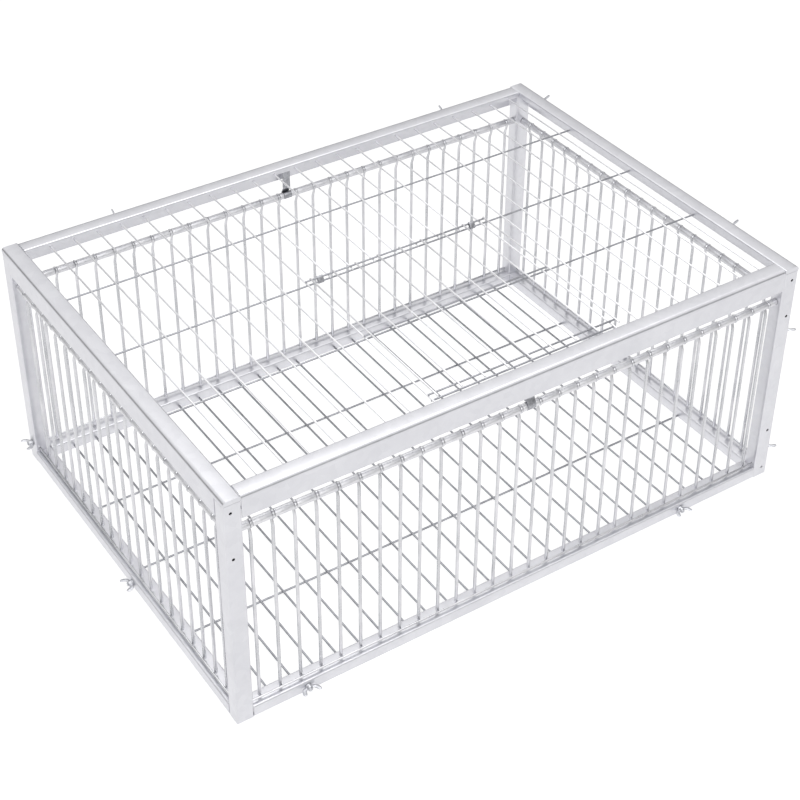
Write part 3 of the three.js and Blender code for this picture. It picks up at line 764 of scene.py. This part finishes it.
# Lid mesh
# Welded mesh of 2.5 mm wire between the lid's lips, short wires on top of three long ones. The
# short ones are cut away over the hole, where one more wire runs along the front.

# The short wires' near white colour is painted light: they are the same wire as the long ones, coloured
# paler as if lit from above.
LID_WIRE = mesh_wire("mesh_wire_painted_light", "#EDEDF0", "#F8F8FA")
# The long wires' darker colour is painted shade, not weathering: they are the same wire as the short
# ones and lie lower, under them.
LONG_WIRE = mesh_wire("mesh_wire_painted_shade", "#9FA0A5", "#BBBCC1")
LID_WIRE_D = 2.5
LID_WIRE_TOP_DROP = 4.9
LID_SHORT_COUNT, LID_LONG_COUNT = 23, 3
LID_FIELD_WIDTH, LID_FIELD_DEPTH = 34.0, 138.0
LID_SHORT_WIRE_INSET, LID_LONG_WIRE_INSET = 36.0, 155.5
HOLE_FRONT_INSET = 11.0
LEDGE_REACH = 1.2
LID_SHORT_Z = HEIGHT - LID_WIRE_TOP_DROP - LID_WIRE_D / 2
LID_LONG_Z = LID_SHORT_Z - LID_WIRE_D + WELD_SINK
HOLE_LEFT, HOLE_RIGHT = 7, 15

lid_left, lid_front = FRAME_WIDTH - LENGTH / 2, FRAME_WIDTH - DEPTH / 2
lid_x = lid_left + LID_SHORT_WIRE_INSET + LID_FIELD_WIDTH * np.arange(LID_SHORT_COUNT)
lid_y = lid_front + LID_LONG_WIRE_INSET + LID_FIELD_DEPTH * np.arange(LID_LONG_COUNT)
hinge_y = lid_y[1]
hole_front_y = lid_front + HOLE_FRONT_INSET
lid_wires = []
for index, x in enumerate(lid_x):
    start = hinge_y - LID_WIRE_D / 2 if HOLE_LEFT < index < HOLE_RIGHT else -mesh_reach_y
    lid_wires.append(
        cropped_wire((x, start, LID_SHORT_Z), (x, mesh_reach_y, LID_SHORT_Z), LID_WIRE_D)
    )
long_runs = [(-mesh_reach_x, mesh_reach_x, y) for y in lid_y]
long_runs.append((lid_x[HOLE_LEFT] - LEDGE_REACH, lid_x[HOLE_RIGHT] + LEDGE_REACH, hole_front_y))
long_wires = [
    cropped_wire((start, y, LID_LONG_Z), (end, y, LID_LONG_Z), LID_WIRE_D)
    for start, end, y in long_runs
]
piece(
    "lid_wire_grid",
    lid_wires,
    LID_WIRE,
    "cage",
    "mesh_wire",
    "lid_mesh",
    others=long_wires,
    other=LONG_WIRE,
)

# Top door and its clips
# A mesh of the same wire that lies over the hole. Two strips of plated steel are crimped round
# its rear wire and the lid's long wire beside it, and it lifts about them.

DOOR_SHIFT, DOOR_FIELD, DOOR_SETBACK, DOOR_OVERHANG = 6.5, 139.5, 3.0, 10.0
DOOR_LONG_COUNT = 3
DOOR_REST_GAP = 0.3
DOOR_Z = LID_SHORT_Z + LID_WIRE_D + DOOR_REST_GAP
CLIP_WIDTH, CLIP_SHEET, CLIP_BORE = 8.0, 0.8, 1.55

door_x = lid_x[HOLE_LEFT : HOLE_RIGHT + 1] + DOOR_SHIFT
door_y = hinge_y + DOOR_SETBACK - DOOR_FIELD * np.arange(DOOR_LONG_COUNT)
door_left, door_right = lid_x[HOLE_LEFT] - LID_WIRE_D / 2, door_x[-1] + LID_WIRE_D / 2
front, rear = door_y[-1] - DOOR_OVERHANG, door_y[0] + LID_WIRE_D / 2
cross_z = DOOR_Z + LID_WIRE_D - WELD_SINK
# The door's cross wires carry the same painted light as the lid's short wires.
door_wires = [cropped_wire((x, front, cross_z), (x, rear, cross_z), LID_WIRE_D) for x in door_x]
# The door's long wires carry the same painted shade as the lid's long wires.
long_wires = [
    cropped_wire((door_left, y, DOOR_Z), (door_right, y, DOOR_Z), LID_WIRE_D) for y in door_y
]
piece(
    "top_door_grid",
    door_wires,
    LID_WIRE,
    "top_door",
    "mesh_wire",
    "top_door",
    others=long_wires,
    other=LONG_WIRE,
)

wire_gap = np.array([DOOR_SETBACK, DOOR_Z - LID_LONG_Z])
lean = math.degrees(math.atan2(wire_gap[1], wire_gap[0]))
wrap = CLIP_BORE + CLIP_SHEET / 2
clip_line = np.vstack(
    [arc((0, 0), wrap, lean + 90, lean + 270, 12), arc(wire_gap, wrap, lean - 90, lean + 90, 12)]
)
clip_strip = rounded_box(CLIP_WIDTH / 2, CLIP_SHEET / 2, 0.2, 2)
for name, place in (("left", HOLE_LEFT), ("right", HOLE_RIGHT - 1)):
    x = lid_x[place] + (DOOR_SHIFT + LID_FIELD_WIDTH) / 2
    clip = carried(in_cross_plane(clip_line), (1, 0, 0), clip_strip, closed=True)
    shell = moved(clip, (x, hinge_y, LID_LONG_Z))
    piece(f"door_clip_{name}", [shell], PLATED_STEEL, "cage", "steel_fittings", f"hinge_clip_{name}")

# Wing bolts
# M5 bolts with pressed wing nuts outside and round heads inside, through the outer sheet of
# the lid members, rails and posts where the photograph shows them. They come undone by hand.

THREAD_STEP = 0.4
WEB_BOLT_DROP = 14.0


def wing_bolt(wall, along, height, upright):
    """A bolt through the front wall's outer sheet, turned to its own wall: a turned head,
    a threaded shank, a turned hub, and two wings, each an oval carried along a curve. The
    wings point along the wall or, where upright is true, up and down."""
    head = [(1.5, 0.1), (1.5, 4.5), (2.2, 4.5), (3.2, 3.9), (3.9, 2.4), (4.1, 0.1)]
    thread = np.arange(0, 9.6, THREAD_STEP)
    ridge = 2.32 + 0.18 * np.cos(thread * math.pi / THREAD_STEP)
    turns = np.column_stack([thread - 7.6, ridge])
    shank = np.vstack([[(-7.9, 0.1), (-7.9, 1.9)], turns, [(2.0, 0.1)]])
    hub = [(-6.3, 2.6), (-6.3, 3.2), (-6.0, 3.5), (-2.0, 4.2)]
    hub += [(-1.4, 4.8), (-0.5, 4.8), (-0.3, 4.5), (-0.3, 2.6)]
    profiles = (head, shank, hub)
    shells = [turned_profile(profile, (0, 0, 0), (0, 1, 0), (0, 0, 1)) for profile in profiles]
    t = np.linspace(0, 1, 19)[:, None]
    start, bend, tip = np.array([[2.6, -3.1], [9.8, -2.6], [10.6, -13.4]])
    curve = (1 - t) ** 2 * start + 2 * t * (1 - t) * bend + t**2 * tip
    rounding = np.sqrt(np.clip(1 - ((t[:, 0] - 0.82) / 0.18).clip(0) ** 2, 0.004, 1))
    breadth = (2.0 + 0.8 * np.sin(math.pi * t[:, 0] * 0.75)) * rounding
    thickness = (1.25 - 0.35 * t[:, 0]) * np.sqrt(rounding)
    for mirror in (1, -1):
        line = np.column_stack([mirror * curve[:, 0], curve[:, 1], np.zeros(len(t))])
        swell = np.column_stack([thickness, breadth])
        points, faces = carried(line, (0, 0, 1), round_section(2, 16), swell)
        shells.append((points[:, [2, 1, 0]] * (-1, 1, 1) if upright else points, faces))
    half = WALLS[wall][1]
    return [on_wall(moved(shell, (along, -half, height)), wall) for shell in shells]


BOLT_STEEL = plated_steel("zinc_plated_steel_bolts", "#C2C3C8", "#E0E1E5")
rail_z, web_z, at_post = RAIL_HEIGHT / 2, HEIGHT - WEB_BOLT_DROP, (DEPTH - POST_DEPTH) / 2
BOLTS = {
    "front_wing_bolt_1": ("front", -326.4, rail_z),
    "front_wing_bolt_2": ("front", 266.05, rail_z),
    "back_top_wing_bolt_1": ("back", -278.8, web_z),
    "back_top_wing_bolt_2": ("back", 260.1, web_z),
    "back_low_wing_bolt_1": ("back", -326.4, rail_z),
    "back_low_wing_bolt_2": ("back", 266.05, rail_z),
    "right_top_wing_bolt_1": ("right", -171.0, web_z),
    "right_top_wing_bolt_2": ("right", 248.1, web_z),
    "right_post_wing_bolt_low": ("right", -at_post, 44.0),
    "right_post_wing_bolt_high": ("right", -at_post, POST_TOP - 99.0),
    "left_wing_bolt": ("left", 21.9, rail_z),
    "left_post_wing_bolt": ("left", -at_post, 28.0),
}
for node, (wall, along, height) in BOLTS.items():
    shells = wing_bolt(wall, along, height, height == web_z)
    name = node.replace("wing_bolt", "wing_nut_bolt")
    piece(name, shells, BOLT_STEEL, "cage", "steel_fittings", node)

# Camera, floor and light
# The camera stands where the photograph's lines say it stood. A plain pale floor, two large
# soft lights, and a white backdrop that the metal shows from above and dimly at the horizon.

AZIMUTH, ELEVATION, ROLL = -33.6951, 35.5288, 0.4401
CAMERA_PLACE = (-1.05495, -1.58754, 1.60978)
LENS, SENSOR, FRAME_SHIFT = 78.8791, 36.0, -0.1
az, el, roll = (math.radians(v) for v in (AZIMUTH, ELEVATION, ROLL))
back = Vector((math.sin(az) * math.cos(el), -math.cos(az) * math.cos(el), math.sin(el)))
right = Vector((math.cos(az), math.sin(az), 0.0))
up = right.cross(-back)
right, up = (
    math.cos(roll) * right + math.sin(roll) * up,
    -math.sin(roll) * right + math.cos(roll) * up,
)
camera_data = bpy.data.cameras.new("camera")
camera_data.lens = LENS
camera_data.sensor_width = SENSOR
camera_data.shift_y = FRAME_SHIFT
camera = bpy.data.objects.new("camera", camera_data)
camera.matrix_world = Matrix(
    (
        (right.x, up.x, back.x, CAMERA_PLACE[0]),
        (right.y, up.y, back.y, CAMERA_PLACE[1]),
        (right.z, up.z, back.z, CAMERA_PLACE[2]),
        (0, 0, 0, 1),
    )
)
bpy.context.scene.collection.objects.link(camera)
bpy.context.scene.camera = camera


def floor_paint():
    """Matt pale studio floor. Where the camera sees it, a glow lifts it to the white of the
    backdrop and keeps the shadow. The metal sees a weaker glow."""
    camera_glow, metal_glow = 0.78, 0.68
    material, output = new_material("matt_pale_studio_floor")
    ray = add(material, "ShaderNodeLightPath")
    reflected = add(
        material,
        "ShaderNodeMath",
        {"operation": "MULTIPLY"},
        {0: ray.outputs["Is Glossy Ray"], 1: metal_glow},
    )
    glow = add(
        material,
        "ShaderNodeMath",
        {"operation": "MULTIPLY_ADD"},
        {0: ray.outputs["Is Camera Ray"], 1: camera_glow, 2: reflected.outputs[0]},
    )
    shader = add(
        material,
        "ShaderNodeBsdfPrincipled",
        None,
        {
            "Base Color": linear("#C6C6C6"),
            "Roughness": 1.0,
            "Specular IOR Level": 0.0,
            "Emission Color": (1, 1, 1, 1),
            "Emission Strength": glow.outputs[0],
        },
    )
    material.node_tree.links.new(shader.outputs["BSDF"], output.inputs["Surface"])
    return material


floor_half, floor_drop = 8000.0, 0.2
corners = np.array([(-1, -1), (1, -1), (1, 1), (-1, 1)]) * floor_half
floor_mesh = to_mesh("studio_floor", [(raised(corners, -floor_drop), [np.arange(4)[None]])])
floor = bpy.data.objects.new("studio_floor", floor_mesh)
floor.data.materials.append(floor_paint())
bpy.context.scene.collection.objects.link(floor)


def soft_light(name, place, target, width, power):
    """A square soft light that faces its target."""
    data = bpy.data.lights.new(name, "AREA")
    data.shape = "SQUARE"
    data.size = width
    data.energy = power
    lamp = bpy.data.objects.new(name, data)
    aim = (Vector(target) - Vector(place)).to_track_quat("-Z", "Y")
    lamp.matrix_world = Matrix.Translation(place) @ aim.to_matrix().to_4x4()
    bpy.context.scene.collection.objects.link(lamp)


soft_light("front_left_light", (-1.9, -2.8, 2.7), (0, 0, 0.15), 4.4, 66)
soft_light("overhead_light", (0.4, 0.4, 3.2), (0, 0, 0.2), 2.4, 30)

HORIZON_DIM, HORIZON_TOP, SKY_BASE = 0.24, 0.22, 0.6
world = bpy.data.worlds.new("studio")
bpy.context.scene.world = world
world.use_nodes = True
world.node_tree.nodes.clear()
ray = add(world, "ShaderNodeLightPath").outputs
direction = add(world, "ShaderNodeTexCoord").outputs["Generated"]
height = add(world, "ShaderNodeSeparateXYZ", None, {"Vector": direction}).outputs["Z"]
above = add(
    world,
    "ShaderNodeMapRange",
    {"interpolation_type": "SMOOTHSTEP"},
    {"Value": height, "From Min": HORIZON_TOP, "From Max": SKY_BASE},
)
seen = add(
    world,
    "ShaderNodeMath",
    {"operation": "MULTIPLY_ADD"},
    {0: ray["Is Glossy Ray"], 1: above.outputs["Result"], 2: ray["Is Camera Ray"]},
)
shown = add(world, "ShaderNodeMath", None, {0: seen.outputs[0], 1: ray["Is Transmission Ray"]})
dim = add(world, "ShaderNodeBackground", None, {"Color": (1, 1, 1, 1), "Strength": HORIZON_DIM})
white = add(world, "ShaderNodeBackground", None, {"Color": (1, 1, 1, 1), "Strength": 1.0})
both = add(
    world,
    "ShaderNodeMixShader",
    None,
    {0: shown.outputs[0], 1: dim.outputs[0], 2: white.outputs[0]},
)
add(world, "ShaderNodeOutputWorld", None, {"Surface": both.outputs[0]})

bpy.context.scene.view_settings.view_transform = "Standard"
